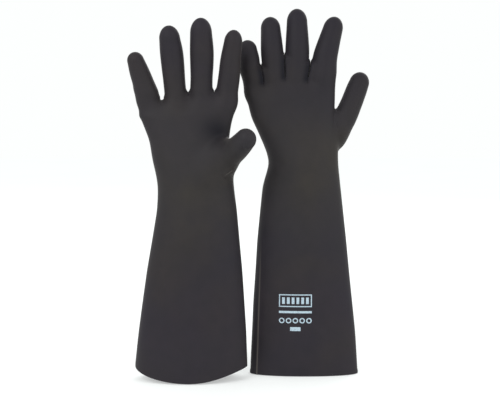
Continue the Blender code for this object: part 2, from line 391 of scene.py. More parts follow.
def digit_field(digit, points):
    """A digit as an oval swept along its rings, with a dome at each end."""
    rings = digit.dense
    field = np.full(len(points), FAR)
    low = rings[:, :3].min(0) - NEAR
    high = rings[:, :3].max(0) + NEAR
    close = ((points > low) & (points < high)).all(1)
    near = points[close]
    ahead = near @ rings[:, 3:6].T - (rings[:, :3] * rings[:, 3:6]).sum(1)
    station = np.clip((ahead > 0).sum(1) - 1, 0, len(rings) - 2)
    row = np.arange(len(near))
    here, there = ahead[row, station], ahead[row, station + 1]
    share = np.clip(here / np.where(here - there > 1e-6, here - there, 1e-6), 0, 1)[:, None]
    ring = rings[station] * (1 - share) + rings[station + 1] * share
    facing, across = ring[:, 3:6], ring[:, 6:9]
    offset = near - ring[:, :3]
    u = (offset * across).sum(1)
    v = (offset * np.cross(facing, across)).sum(1)
    past = np.maximum(ahead[:, -1], 0) / digit.dome + np.minimum(ahead[:, 0], 0) / TAIL
    norm = np.sqrt((u / ring[:, 9]) ** 2 + (v / ring[:, 10]) ** 2 + past**2)
    reach = np.linalg.norm(offset, axis=1)
    field[close] = reach * (1 - 1 / np.maximum(norm, 0.01))
    return field


def finger_field(glove, name, points):
    """A finger, webbed to its neighbours near its root, and cut from them where they would touch."""
    field = digit_field(glove.digits[name], points)
    place = FINGERS.index(name)
    near = field < FAR
    z = points[near, 2]
    value = field[near]
    for beside, towards in ((place - 1, -1), (place + 1, 1)):
        if not 0 <= beside < len(FINGERS):
            continue
        web = min(place, beside)
        neighbour = digit_field(glove.digits[FINGERS[beside]], points[near])
        fade = np.clip((glove.look.web_tops[web] + WEB_FADE - z) / WEB_FADE, 0, 1)
        value = smooth_union(value, neighbour, glove.look.web_fillet * fade)
        line = np.interp(z, glove.levels, glove.midlines[web])
        value = smooth_cut(value, towards * (points[near, 0] - line) + GROOVE, GROOVE_EDGE)
    field[near] = value
    return field


def mound_field(glove, points):
    """The muscle at the thumb's root, as a slanted ellipsoid in the palm."""
    mound = glove.look.mound
    along = unit(np.array(mound.along))
    across = unit(np.cross(along, (0.0, 1.0, 0.0)))
    offset = points - glove.digits["thumb"].root - np.array(mound.offset)
    width, depth, length = mound.sizes
    norm = np.sqrt(
        (offset @ across / width) ** 2
        + (offset @ np.cross(along, across) / depth) ** 2
        + (offset @ along / length) ** 2
    )
    return np.linalg.norm(offset, axis=1) * (1 - 1 / np.maximum(norm, 0.01))


def hand_field(glove, points, fingers_to=np.inf):
    """The whole skin but for the upper fingers. The palm turns into the four finger roots below the webs."""
    z = points[:, 2]
    field = smooth_union(body_field(glove, points), mound_field(glove, points), glove.look.mound.fillet)
    web = np.interp(points[:, 0], glove.web_x, glove.web_z)
    turned = np.clip((z - web + KNUCKLE_LENGTH) / (KNUCKLE_LENGTH + WEB_MARGIN), 0, 1)
    turned = turned * turned * (3 - 2 * turned)
    low = (z < fingers_to) & (turned > 0)
    fingers = np.full(len(points), FAR)
    for name in FINGERS:
        fingers[low] = np.minimum(fingers[low], finger_field(glove, name, points[low]))
    field = field + (fingers - field) * turned
    fillet = np.interp(z, *zip(*glove.look.thumb_fillet))
    return smooth_union(field, digit_field(glove.digits["thumb"], points), fillet)


def segment_distance(x, z, start, end):
    """How far (x, z) is from a line between two points, and how far along it is, from 0 to 1."""
    dx, dz = end[0] - start[0], end[1] - start[1]
    along = np.clip(((x - start[0]) * dx + (z - start[1]) * dz) / (dx * dx + dz * dz), 0, 1)
    return np.hypot(x - start[0] - along * dx, z - start[1] - along * dz), along


# Slow waves of the dipped skin: their slopes along x, y and z, and their phase
WAVES = (
    (0.041, 0.020, 0.017, 0.4),
    (-0.023, 0.035, 0.028, 1.9),
    (0.067, -0.031, 0.012, 3.1),
    (0.015, 0.052, -0.039, 5.0),
)
WAVE_HEIGHT = 0.32
CALM_BELOW = 40.0
CALM_SHARE = 0.2
FRONT_DEPTH = 6.0
HEM_EDGE = 0.8
SIDE_FROM, SIDE_RISE = 30.0, 15.0
SIDE_TO, SIDE_FALL = 78.0, 10.0
GROOVE_SHADE_SHIFT = 2.2
GROOVE_SHADE_WIDTH = 4.2
GROOVE_SHADE_BELOW, GROOVE_SHADE_RISE = 4.0, 7.0
GROOVE_SHADE_ABOVE, GROOVE_SHADE_FALL = 8.0, 10.0
UPPER_FROM, UPPER_RISE = 280.0, 90.0


def clamp(value):
    return np.clip(value, 0, 1)


def bell(away):
    return np.exp(-(away**2))


def relief(glove, points):
    """How far the skin stands proud of its plain shape: waves, creases, hollows, the hem and side bumps."""
    x, y, z = points.T
    look = glove.look
    total = np.zeros(len(points))
    for kx, ky, kz, phase in WAVES:
        total += np.sin(x * kx + y * ky + z * kz + phase)
    total *= WAVE_HEIGHT / len(WAVES) * np.clip(z / CALM_BELOW, CALM_SHARE, 1)
    front = clamp((glove.plane - y) / FRONT_DEPTH)
    for start, end, height, width in look.creases:
        away, along = segment_distance(x, z, start, end)
        fade = clamp(look.crease_fade * along)
        if look.crease_ends:
            fade *= clamp(look.crease_fade * (1 - along))
        total += front * height * fade * bell(away / width)
    for (cx, cz), width, height in look.hollows:
        total += front * height * bell(np.hypot(x - cx, z - cz) / width)
    total += look.hem_proud * clamp((HEM_HEIGHT - z) / HEM_EDGE)
    outwards = x - section_at(glove, z)[0]
    for way, cz, width, height in look.side_bumps:
        side = clamp((way * outwards - SIDE_FROM) / SIDE_RISE) * clamp((SIDE_TO - way * outwards) / SIDE_FALL)
        total += side * height * bell((z - cz) / width)
    return total


def shade_at(glove, points):
    """How far the rubber is darkened, from 0 to 1: painted shade in spots and beside the finger grooves on
    the front, and darker towards the fingertips all round.
    """
    x, y, z = points.T
    look = glove.look
    front = clamp((glove.plane - y) / FRONT_DEPTH)
    total = np.zeros(len(points))
    for cx, cz, width, height, amount in look.painted_shade:
        total += amount * bell((x - cx) / width) * bell((z - cz) / height)
    for low, high, line in zip(glove.web_z, look.web_tops, glove.midlines):
        inside = clamp((z - low + GROOVE_SHADE_BELOW) / GROOVE_SHADE_RISE)
        inside *= clamp((high + GROOVE_SHADE_ABOVE - z) / GROOVE_SHADE_FALL)
        away = x - np.interp(z, glove.levels, line) + GROOVE_SHADE_SHIFT
        # Painted shade beside each finger groove, a little to one side of the midline
        total += look.groove_shade * inside * bell(away / GROOVE_SHADE_WIDTH)
    # Darker towards the fingertips, all round the glove
    upper = look.upper_darkening * clamp((z - UPPER_FROM) / UPPER_RISE)
    return clamp(total * front + upper)


def skin_of(shape, glove, *which):
    """The field of the points alone: one of the shapes above, with the relief on it."""
    return lambda points: shape(glove, *which, points) - relief(glove, points)


def slope_of(field, points):
    """The field's slope at each point, by central differences."""
    slope = np.empty_like(points)
    for axis in range(3):
        step = np.zeros(3)
        step[axis] = SLOPE_STEP
        slope[:, axis] = (field(points + step) - field(points - step)) / (2 * SLOPE_STEP)
    return slope


def settle(field, points, rounds=2):
    """Moves points along the slope until they lie on the field's zero."""
    for _ in range(rounds):
        slope = slope_of(field, points)
        steep = np.maximum((slope**2).sum(1), 0.1)
        points = points - slope * (field(points) / steep)[:, None]
    return points


def normals_of(field, points):
    slope = slope_of(field, points)
    return slope / np.linalg.norm(slope, axis=1, keepdims=True)


def reach_along(field, centres, directions, guess, rounds=7):
    """The points where rays from the centres meet the field's zero."""
    reach = np.array(guess, float)
    for _ in range(rounds):
        reach -= field(centres + directions * reach[:, None])
    return centres + directions * reach[:, None]


# ----- Meshes -----

def net_over(values, low, step):
    """A net of quads over a grid where its values change sign, one corner in each cell that is crossed."""
    inside = values < 0
    cells = np.array(values.shape) - 1
    total = np.zeros((cells.prod(), 3))
    hits = np.zeros(cells.prod())
    quads = []
    for axis in range(3):
        b, c = (axis + 1) % 3, (axis + 2) % 3
        near = [slice(None)] * 3
        far = [slice(None)] * 3
        near[axis], far[axis] = slice(None, -1), slice(1, None)
        here, there = values[tuple(near)], values[tuple(far)]
        index = np.argwhere(inside[tuple(near)] != inside[tuple(far)])
        at = tuple(index.T)
        place = index.astype(float)
        place[:, axis] += here[at] / (here[at] - there[at])
        corners = []
        valid = np.ones(len(index), bool)
        for db, dc in ((1, 1), (0, 1), (0, 0), (1, 0)):
            cell = index.copy()
            cell[:, b] -= db
            cell[:, c] -= dc
            good = ((cell >= 0) & (cell < cells)).all(1)
            flat = np.ravel_multi_index(np.where(good[:, None], cell, 0).T, cells)
            for k in range(3):
                total[:, k] += np.bincount(flat[good], place[good, k], len(total))
            hits += np.bincount(flat[good], minlength=len(hits))
            valid &= good
            corners.append(flat)
        faces = np.column_stack(corners)
        outward = inside[tuple(near)][at]
        faces[~outward] = faces[~outward][:, ::-1]
        quads.append(faces[valid])
    used = hits > 0
    order = np.cumsum(used) - 1
    points = low + total[used] / hits[used][:, None] * step
    return points, order[np.vstack(quads)]


def grid_faces(rows, columns):
    """Quads between rings of points that close on themselves, facing outwards on a rising stack."""
    faces = []
    for row in range(rows - 1):
        for column in range(columns):
            after = (column + 1) % columns
            low, high = row * columns, (row + 1) * columns
            faces.append((low + column, low + after, high + after, high + column))
    return faces


def open_edges(faces):
    """The edges that only one face uses, each in that face's direction."""
    seen = {}
    for face in faces:
        for a, b in zip(face, (*face[1:], face[0])):
            if (b, a) in seen:
                del seen[(b, a)]
            else:
                seen[(a, b)] = True
    return list(seen)


def add_object(name, data):
    obj = bpy.data.objects.new(name, data)
    bpy.context.scene.collection.objects.link(obj)
    return obj


def make_piece(glove, node, material, points, normals, faces, lip=0):
    """A closed wall of rubber in a node's place: the skin, the same drawn inwards, and a rim at every edge.

    The rim is a flat strip. Below the edges between the first points, up to lip, it is a half-round lip."""
    count = len(points)
    inner = points - normals * WALL
    corners = [points, inner]
    sides = [normals, -normals]
    polygons = [tuple(face) for face in faces]
    polygons += [tuple(count + i for i in reversed(face)) for face in faces]
    loops = [(normals[i] if i < count else -normals[i - count]) for face in polygons for i in face]
    rims = open_edges(faces)
    for a, b in rims:
        if max(a, b) >= lip:
            polygons.append((b, a, count + a, count + b))
            loops += [unit(np.cross(points[a] - points[b], inner[a] - points[a]))] * 4
    lip_rows = {}
    turns = np.linspace(0, math.pi, LIP_ROWS + 2)[1:-1]
    lip_edges = [edge for edge in rims if max(edge) < lip]
    for a in sorted({i for edge in lip_edges for i in edge}):
        first = 2 * count + len(lip_rows) * LIP_ROWS
        lip_rows[a] = [a, *range(first, first + LIP_ROWS), count + a]
        out = (points[a] - inner[a]) / 2
        offsets = [out * math.cos(turn) - UP * (WALL / 2 * math.sin(turn)) for turn in turns]
        corners.append((points[a] + inner[a]) / 2 + np.array(offsets))
        sides.append([unit(offset) for offset in offsets])
    corners, sides = np.vstack(corners), np.vstack(sides)
    for a, b in lip_edges:
        here, there = lip_rows[a], lip_rows[b]
        for i in range(LIP_ROWS + 1):
            face = (there[i], here[i], here[i + 1], there[i + 1])
            polygons.append(face)
            loops += [sides[corner] for corner in face]
    mesh = bpy.data.meshes.new(f"{node}_skin")
    mesh.from_pydata((corners * MM).tolist(), [], polygons)
    mesh.shade_smooth()
    mesh.normals_split_custom_set(np.array(loops).tolist())
    shade = mesh.attributes.new("shade", "FLOAT", "POINT")
    values = np.zeros(len(corners), np.float32)
    values[:count] = shade_at(glove, points)
    shade.data.foreach_set("value", values)
    mesh.materials.append(material)
    obj = add_object(f"{node}_skin", mesh)
    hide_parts(node)
    return obj


# ----- The pieces -----

RIM_SAMPLES = 25
RIM_SAMPLE_HALF = 0.1
RIM_TURNS = 193
RIM_SMOOTHING = 14


def wrapped(angle):
    return np.angle(np.exp(1j * angle))


def rim_line(glove, angles):
    """The height of the cuff's free edge, read from the solid's corners round its outside."""
    points = glove.cuff[0]
    low = points[points[:, 2] < glove.wrist / 5]
    _, middle, half_width, half_depth = glove.rows[0]
    turn = np.arctan2((low[:, 1] - glove.plane) / half_depth, (low[:, 0] - middle) / half_width)
    steps = np.linspace(-math.pi, math.pi, RIM_SAMPLES)
    heights = [low[np.abs(wrapped(turn - step)) < RIM_SAMPLE_HALF][:, 2].min() for step in steps]
    fine = np.linspace(-math.pi, math.pi, RIM_TURNS)
    curve = np.interp(fine, steps, heights)
    for _ in range(RIM_SMOOTHING):
        ring = curve[:-1]
        ring = (np.roll(ring, 1) + 2 * ring + np.roll(ring, -1)) / 4
        curve = np.append(ring, ring[0])
    curve -= curve.min()
    front = np.interp(-np.abs(fine), fine, curve) - RIM_TUCK * np.abs(np.sin(fine))
    curve = np.where(fine > 0, np.maximum(curve, front), curve)
    return np.interp(wrapped(angles), fine, curve)


def make_gauntlet(glove, material):
    angles = np.linspace(0, 2 * math.pi, CUFF_COLUMNS, endpoint=False)
    rim = rim_line(glove, angles) + WALL / 2
    count = int(glove.seam / CUFF_ROW)
    field = skin_of(body_field, glove)
    flat = np.zeros(CUFF_COLUMNS)
    rings = []
    for share in np.linspace(0, 1, count):
        z = rim + (glove.seam - rim) * share
        middle, half_width, half_depth = section_at(glove, z)
        centre = np.column_stack([middle, flat + glove.plane, z])
        out = np.column_stack([half_width * np.cos(angles), half_depth * np.sin(angles), flat])
        size = np.linalg.norm(out, axis=1)
        rings.append(reach_along(field, centre, out / size[:, None], size))
    points = np.vstack(rings)
    obj = make_piece(
        glove, f"{glove.side}_gauntlet", material, points, normals_of(field, points),
        grid_faces(count, CUFF_COLUMNS), lip=CUFF_COLUMNS,
    )
    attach(obj, f"{glove.side}_cuff")


def cut_plane(shape, faces, point, normal, clear=False):
    """Cuts these faces along a plane. Where clear is set, what lies ahead of it is removed."""
    parts = set(faces)
    for face in faces:
        parts.update(face.edges)
        parts.update(face.verts)
    bmesh.ops.bisect_plane(
        shape, geom=list(parts), dist=CUT_MERGE, plane_co=point, plane_no=normal, clear_outer=clear
    )


def face_centres(shape):
    shape.faces.ensure_lookup_table()
    shape.faces.index_update()
    return np.array([face.calc_center_median() for face in shape.faces])


def joined_to(shape, allowed, first):
    """Which of the allowed faces can be reached from the first one across shared edges."""
    found = np.zeros(len(allowed), bool)
    found[first] = True
    queue = [shape.faces[first]]
    while queue:
        for edge in queue.pop().edges:
            for face in edge.link_faces:
                if allowed[face.index] and not found[face.index]:
                    found[face.index] = True
                    queue.append(face)
    return found


def hand_net(glove, field):
    """A net of quads on the skin of the hand and thumb, reaching a little past their seams."""
    thumb = glove.digits["thumb"]
    rows = glove.rows[glove.rows[:, 0] > glove.seam - NET_ROWS_BELOW]
    along = thumb.dense[:, :3]
    left, right = (rows[:, 1] - rows[:, 2]).min(), (rows[:, 1] + rows[:, 2]).max()
    deep = rows[:, 3].max()
    low = np.array((
        min(left, along[:, 0].min() - THUMB_ROOM) - NET_SIDE_ROOM,
        min(glove.plane - deep, along[:, 1].min() - THUMB_ROOM) - NET_DEPTH_ROOM,
        glove.seam - 3 * NET_STEP,
    ))
    high = np.array((
        max(right, along[:, 0].max() + THUMB_ROOM) + NET_SIDE_ROOM,
        max(glove.plane + deep, along[:, 1].max() + THUMB_ROOM) + NET_DEPTH_ROOM,
        max(glove.top, thumb.pole[2]) + NET_DEPTH_ROOM,
    ))
    counts = np.ceil((high - low) / NET_STEP).astype(int)
    axes = [low[i] + NET_STEP * np.arange(counts[i]) for i in range(3)]
    grid = np.stack(np.meshgrid(*axes, indexing="ij"), -1).reshape(-1, 3)
    values = hand_field(glove, grid, glove.top + 3 * NET_STEP).reshape(counts)
    points, quads = net_over(values, low, NET_STEP)
    keep = (points[:, 2] < glove.top + 2 * NET_STEP) | (digit_field(thumb, points) < THUMB_NEAR)
    points[keep] = settle(field, points[keep])
    return points, quads[keep[quads].all(1)]


def cut_zones(glove, shape, root, knuckle):
    """Cuts the net at its seams and says which piece each face is in: 0 hand, 1 thumb base, 2 thumb tip."""
    thumb = glove.digits["thumb"]

    def is_thumb(centres):
        return digit_field(thumb, centres) < THUMB_REACH

    def chosen(mask):
        return [face for face, there in zip(shape.faces, mask) if there]

    cut_plane(shape, shape.faces[:], (0, 0, glove.seam), (0, 0, -1), clear=True)
    centres = face_centres(shape)
    finger = (centres[:, 2] > glove.top - CUT_ROOM) & ~is_thumb(centres)
    cut_plane(shape, chosen(finger), (0, 0, glove.top), (0, 0, 1))
    centres = face_centres(shape)
    finger = (centres[:, 2] > glove.top) & ~is_thumb(centres)
    bmesh.ops.delete(shape, geom=chosen(finger), context="FACES")
    for point, facing in ((root, thumb.facing), (knuckle, thumb.knuckle_facing)):
        centres = face_centres(shape)
        near = is_thumb(centres) & (np.abs((centres - point) @ facing) < CUT_ROOM)
        cut_plane(shape, chosen(near), point, facing)
    centres = face_centres(shape)
    past_root = is_thumb(centres) & ((centres - root) @ thumb.facing > 0)
    past_root = joined_to(shape, past_root, np.argmin(np.linalg.norm(centres - thumb.pole, axis=1)))
    past_knuckle = past_root & ((centres - knuckle) @ thumb.knuckle_facing > 0)
    return past_root.astype(int) + past_knuckle


def make_hand_and_thumb(glove, material):
    side, thumb = glove.side, glove.digits["thumb"]
    field = skin_of(hand_field, glove)
    root = thumb.root + thumb.facing * glove.look.thumb_root_seam
    knuckle = thumb.knuckle + thumb.knuckle_facing * glove.look.thumb_knuckle_seam
    points, quads = hand_net(glove, field)
    shape = bmesh.new()
    corners = [shape.verts.new(point) for point in points]
    for quad in quads:
        shape.faces.new([corners[i] for i in quad])
    for corner in [v for v in shape.verts if not v.link_faces]:
        shape.verts.remove(corner)
    zones = cut_zones(glove, shape, root, knuckle)
    shape.verts.index_update()
    points = np.array([v.co for v in shape.verts])
    faces = [[v.index for v in face.verts] for face in shape.faces]
    shape.free()
    normals = normals_of(field, points)
    made = []
    for zone, node in enumerate(("hand", "thumb_base", "thumb_tip")):
        chosen = [face for face, z in zip(faces, zones) if z == zone]
        used = sorted({i for face in chosen for i in face})
        order = {old: new for new, old in enumerate(used)}
        chosen = [tuple(order[i] for i in face) for face in chosen]
        made.append(make_piece(glove, f"{side}_{node}", material, points[used], normals[used], chosen))
    hand, thumb_base, thumb_tip = made
    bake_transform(hand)
    for piece, before, after, place, facing in (
        (thumb_base, "hand", "thumb_base", root, thumb.facing),
        (thumb_tip, "thumb_base", "thumb_tip", knuckle, thumb.knuckle_facing),
    ):
        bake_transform(piece)


def level_turns():
    angles = np.linspace(0, 2 * math.pi, FINGER_COLUMNS, endpoint=False)
    return np.column_stack([np.cos(angles), np.sin(angles), np.zeros(FINGER_COLUMNS)])


def finger_rings(glove, name, levels, field):
    """Level rings of a finger at these heights, solved onto its skin."""
    rings = glove.digits[name].dense
    z = np.repeat(levels, FINGER_COLUMNS)
    centres = np.column_stack([
        np.interp(z, rings[:, 2], rings[:, 0]), np.interp(z, rings[:, 2], rings[:, 1]), z
    ])
    guess = np.interp(z, rings[:, 2], rings[:, 9])
    return reach_along(field, centres, np.tile(level_turns(), (len(levels), 1)), guess)


def finger_dome(digit, field):
    """The round end of a finger: rings that close up to a last point, its pole."""
    facing = unit(digit.pole - digit.knuckle)
    leans = np.linspace(0, math.pi / 2, DOME_ROWS + 1)[1:-1]
    rays = np.vstack([level_turns() * math.cos(lean) + facing * math.sin(lean) for lean in leans])
    rays = np.vstack([rays, facing])
    rays /= np.linalg.norm(rays, axis=1, keepdims=True)
    centres = np.repeat(digit.dense[-1:, :3], len(rays), axis=0)
    return reach_along(field, centres, rays, np.full(len(rays), digit.dense[-1, 9]))


def make_finger(glove, name, material):
    side, digit = glove.side, glove.digits[name]
    bend = min(KNUCKLE_BEND, KNUCKLE_SHARE * (digit.knuckle[2] - glove.top))
    seam = digit.knuckle[2] - bend
    field = skin_of(finger_field, glove, name)

    levels = np.linspace(glove.top, seam, max(int((seam - glove.top) / RING_STEP), LEAST_RINGS))
    points = finger_rings(glove, name, levels, field)
    node = f"{side}_{name}_base"
    faces = grid_faces(len(levels), FINGER_COLUMNS)
    obj = make_piece(glove, node, material, points, normals_of(field, points), faces)
    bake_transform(obj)

    last = digit.dense[-1, 2]
    levels = np.linspace(seam, last, int((last - seam) / RING_STEP))
    points = np.vstack([finger_rings(glove, name, levels, field), finger_dome(digit, field)])
    pole = len(points) - 1
    ring = pole - FINGER_COLUMNS
    faces = grid_faces(pole // FINGER_COLUMNS, FINGER_COLUMNS)
    faces += [(ring + i, ring + (i + 1) % FINGER_COLUMNS, pole) for i in range(FINGER_COLUMNS)]
    node = f"{side}_{name}_tip"
    obj = make_piece(glove, node, material, points, normals_of(field, points), faces)
    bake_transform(obj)


# ----- The printed mark: plain shapes of pale ink -----

INK_PROUD = 0.12
INK_SUNK = 0.3
INK_STEP = 1.2
INK_TURNS = 24
INK_START = 20.0
INK_ROUNDS = 12
PRINT_LEFT, PRINT_RIGHT = 35.6, 76.6
PRINT_LINE = 1.3
FRAME_LOW, FRAME_HIGH = 89.7, 105.8
HATCH_BARS = 6
HATCH_GAP = 2.6
RULE_LOW, RULE_HIGH = 81.8, 84.6
RINGS = 5
RING_HOLE = 0.6
RING_RADIUS = 3.5
RING_HEIGHT = 72.3
TAB_LOW, TAB_HIGH = 59.0, 64.0
TAB_WIDTH = 13.0


def lay_ink(ink, xs, zs, quads):
    """Lays flat points with these quads on the front of the cuff as a thin raised layer of ink."""
    count = len(xs)
    start = np.column_stack([xs, np.full(count, ink.glove.plane - INK_START), zs])
    field = skin_of(body_field, ink.glove)
    inward = np.tile((0.0, 1.0, 0.0), (count, 1))
    depth = np.zeros(count)
    for _ in range(INK_ROUNDS):
        depth += field(start + inward * depth[:, None])
    skin = start + inward * depth[:, None]
    normals = normals_of(field, skin)
    first = len(ink.corners)
    ink.corners.extend(skin + normals * INK_PROUD)
    ink.corners.extend(skin - normals * INK_SUNK)
    quads = [tuple(first + i for i in quad) for quad in quads]
    ink.faces.extend(quads)
    ink.faces.extend(tuple(count + i for i in reversed(quad)) for quad in quads)
    ink.faces.extend((b, a, count + a, count + b) for a, b in open_edges(quads))


def ink_patch(ink, x0, z0, x1, z1):
    """A rectangle of ink between two corners."""
    across = max(int((x1 - x0) / INK_STEP), 1) + 1
    up = max(int((z1 - z0) / INK_STEP), 1) + 1
    xs, zs = np.meshgrid(np.linspace(x0, x1, across), np.linspace(z0, z1, up))
    starts = [row * across + column for row in range(up - 1) for column in range(across - 1)]
    lay_ink(ink, xs.ravel(), zs.ravel(), [(i, i + 1, i + across + 1, i + across) for i in starts])


def ink_ring(ink, x, z, radius):
    turns = np.linspace(0, 2 * math.pi, INK_TURNS, endpoint=False)
    radii = np.repeat((radius * RING_HOLE, radius), INK_TURNS)
    xs, zs = x + radii * np.cos(np.tile(turns, 2)), z + radii * np.sin(np.tile(turns, 2))
    quads = []
    for i in range(INK_TURNS):
        after = (i + 1) % INK_TURNS
        quads.append((i, INK_TURNS + i, INK_TURNS + after, after))
    lay_ink(ink, xs, zs, quads)


def ink_frame(ink, x0, z0, x1, z1, line):
    """A patch's outline only."""
    ink_patch(ink, x0, z0, x1, z0 + line)
    ink_patch(ink, x0, z1 - line, x1, z1)
    ink_patch(ink, x0, z0 + line, x0 + line, z1 - line)
    ink_patch(ink, x1 - line, z0 + line, x1, z1 - line)


def make_print(glove, material):
    """A mark with no lettering: a hatched frame, a rule, a row of equal rings and a short tab."""
    ink = SimpleNamespace(glove=glove, corners=[], faces=[])
    ink_frame(ink, PRINT_LEFT, FRAME_LOW, PRINT_RIGHT, FRAME_HIGH, PRINT_LINE)
    inside = PRINT_LINE + HATCH_GAP
    pitch = (PRINT_RIGHT - PRINT_LEFT - 2 * inside + HATCH_GAP) / HATCH_BARS
    for i in range(HATCH_BARS):
        x = PRINT_LEFT + inside + i * pitch
        ink_patch(ink, x, FRAME_LOW + inside, x + pitch - HATCH_GAP, FRAME_HIGH - inside)
    ink_patch(ink, PRINT_LEFT, RULE_LOW, PRINT_RIGHT, RULE_HIGH)
    for x in np.linspace(PRINT_LEFT + RING_RADIUS, PRINT_RIGHT - RING_RADIUS, RINGS):
        ink_ring(ink, x, RING_HEIGHT, RING_RADIUS)
    tab = (PRINT_LEFT + PRINT_RIGHT - TAB_WIDTH) / 2
    ink_patch(ink, tab, TAB_LOW, tab + TAB_WIDTH, TAB_HIGH)
    mesh = bpy.data.meshes.new("left_cuff_print")
    mesh.from_pydata((np.array(ink.corners) * MM).tolist(), [], ink.faces)
    mesh.materials.append(material)
    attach(add_object("left_cuff_print", mesh), "left_cuff")


# ----- Materials -----

NOISE_SPAN = (0.3, 0.7)
LINE_RISE = 0.6


def new_material(name):
    material = bpy.data.materials.new(name)
    material.use_nodes = True
    return material, material.node_tree, material.node_tree.nodes["Principled BSDF"]


def add_noise(tree, coordinates, scale, detail, roughness=0.5):
    noise = tree.nodes.new("ShaderNodeTexNoise")
    noise.inputs["Scale"].default_value = scale
    noise.inputs["Detail"].default_value = detail
    noise.inputs["Roughness"].default_value = roughness
    tree.links.new(coordinates, noise.inputs["Vector"])
    return noise.outputs["Fac"]


def add_ramp(tree, value, stops):
    ramp = tree.nodes.new("ShaderNodeValToRGB")
    while len(ramp.color_ramp.elements) < len(stops):
        ramp.color_ramp.elements.new(0.5)
    for element, (place, colour) in zip(ramp.color_ramp.elements, stops):
        element.position = place
        element.color = (*colour, 1.0)
    tree.links.new(value, ramp.inputs["Fac"])
    return ramp.outputs["Color"]


def add_range(tree, value, low, high):
    """A noise's value, which lies mostly within NOISE_SPAN, turned into low to high."""
    remap = tree.nodes.new("ShaderNodeMapRange")
    for socket, limit in zip(("From Min", "From Max", "To Min", "To Max"), (*NOISE_SPAN, low, high)):
        remap.inputs[socket].default_value = limit
    tree.links.new(value, remap.inputs["Value"])
    return remap.outputs["Result"]


def add_bump(tree, height, strength, distance, below=None):
    bump = tree.nodes.new("ShaderNodeBump")
    bump.inputs["Strength"].default_value = strength
    bump.inputs["Distance"].default_value = distance
    tree.links.new(height, bump.inputs["Height"])
    if below is not None:
        tree.links.new(below, bump.inputs["Normal"])
    return bump.outputs["Normal"]


def add_math(tree, operation, first, second):
    math_node = tree.nodes.new("ShaderNodeMath")
    math_node.operation = operation
    for socket, value in zip(math_node.inputs, (first, second)):
        if isinstance(value, (int, float)):
            socket.default_value = value
        else:
            tree.links.new(value, socket)
    return math_node.outputs[0]


def add_falloff(tree, distance, reach):
    """One at no distance, falling smoothly to nothing at this reach, in metres."""
    remap = tree.nodes.new("ShaderNodeMapRange")
    remap.interpolation_type = "SMOOTHERSTEP"
    remap.inputs["From Min"].default_value = reach
    remap.inputs["From Max"].default_value = 0.0
    tree.links.new(distance, remap.inputs["Value"])
    return remap.outputs["Result"]


def add_line_mask(tree, place, start, end, reach):
    """A mask along a line drawn on the front of a glove between two (x, z) places in millimetres."""
    along = unit(np.array((end[0] - start[0], 0.0, end[1] - start[1])))
    across = np.array((along[2], 0.0, -along[0]))
    begin = np.array((start[0], 0.0, start[1])) * MM
    finish = np.array((end[0], 0.0, end[1])) * MM
    found = []
    for direction in (across, along):
        dot = tree.nodes.new("ShaderNodeVectorMath")
        dot.operation = "DOT_PRODUCT"
        dot.inputs[1].default_value = tuple(direction)
        tree.links.new(place, dot.inputs[0])
        found.append(dot.outputs["Value"])
    away = add_math(tree, "SUBTRACT", found[0], float(begin @ across))
    away = add_math(tree, "ABSOLUTE", away, 0.0)
    mask = add_falloff(tree, away, reach * MM)
    ramp = tree.nodes.new("ShaderNodeMapRange")
    ramp.interpolation_type = "SMOOTHSTEP"
    ramp.inputs["From Min"].default_value = float(begin @ along)
    ramp.inputs["From Max"].default_value = float(begin @ along + (finish - begin) @ along * LINE_RISE)
    tree.links.new(found[1], ramp.inputs["Value"])
    mask = add_math(tree, "MULTIPLY", mask, ramp.outputs["Result"])
    past = add_math(tree, "LESS_THAN", found[1], float(finish @ along))
    return add_math(tree, "MULTIPLY", mask, past)


def mix_colours(tree, blend, factor, first, second):
    mix = tree.nodes.new("ShaderNodeMix")
    mix.data_type = "RGBA"
    mix.blend_type = blend
    for socket, value in ((mix.inputs[0], factor), (mix.inputs[6], first), (mix.inputs[7], second)):
        if isinstance(value, float):
            socket.default_value = value
        elif isinstance(value, tuple):
            socket.default_value = (*value, 1.0)
        else:
            tree.links.new(value, socket)
    return mix.outputs[2]


# The rubber's colours by its clouds, its tint at each share of TINT_HEIGHT above the floor, and its dust
RUBBER = [
    (0.32, (0.0170, 0.0156, 0.0200)),
    (0.50, (0.0190, 0.0172, 0.0196)),
    (0.68, (0.0225, 0.0200, 0.0190)),
]
TINT_HEIGHT = 0.5
TINT_WAVER = 0.16
TINTS = [
    (0.00, (1.02, 0.96, 1.02)),
    (0.16, (0.94, 0.86, 0.98)),
    (0.32, (0.92, 0.88, 0.94)),
    (0.50, (1.08, 1.06, 0.98)),
    (0.60, (1.08, 1.06, 1.00)),
    (0.74, (0.98, 0.93, 0.98)),
    (0.90, (0.86, 0.80, 0.96)),
]
DUST = [(0.35, (0.90, 0.90, 0.90)), (0.70, (1.12, 1.11, 1.10))]
# The nearly black blue colour that the shade attribute mixes in: painted shade, and the darkening towards the
# fingertips
PAINTED_SHADE_COLOUR = (0.0020, 0.0018, 0.0050)
FRONT_BEFORE = 0.030

# Painted highlights along two folds, on the left cuff's side and at the right thumb's crease: where each
# runs, its half width, and its colour
PAINTED_HIGHLIGHT_LINES = (
    ((13.7, 190.0), (7.75, 0.0), 1.5, (0.085, 0.076, 0.070)),
    ((-33.3, 254.4), (-22.0, 262.2), 0.9, (0.060, 0.054, 0.050)),
)
INK = [
    (0.34, (0.16, 0.20, 0.24)),
    (0.46, (0.36, 0.46, 0.53)),
    (0.75, (0.42, 0.53, 0.60)),
]


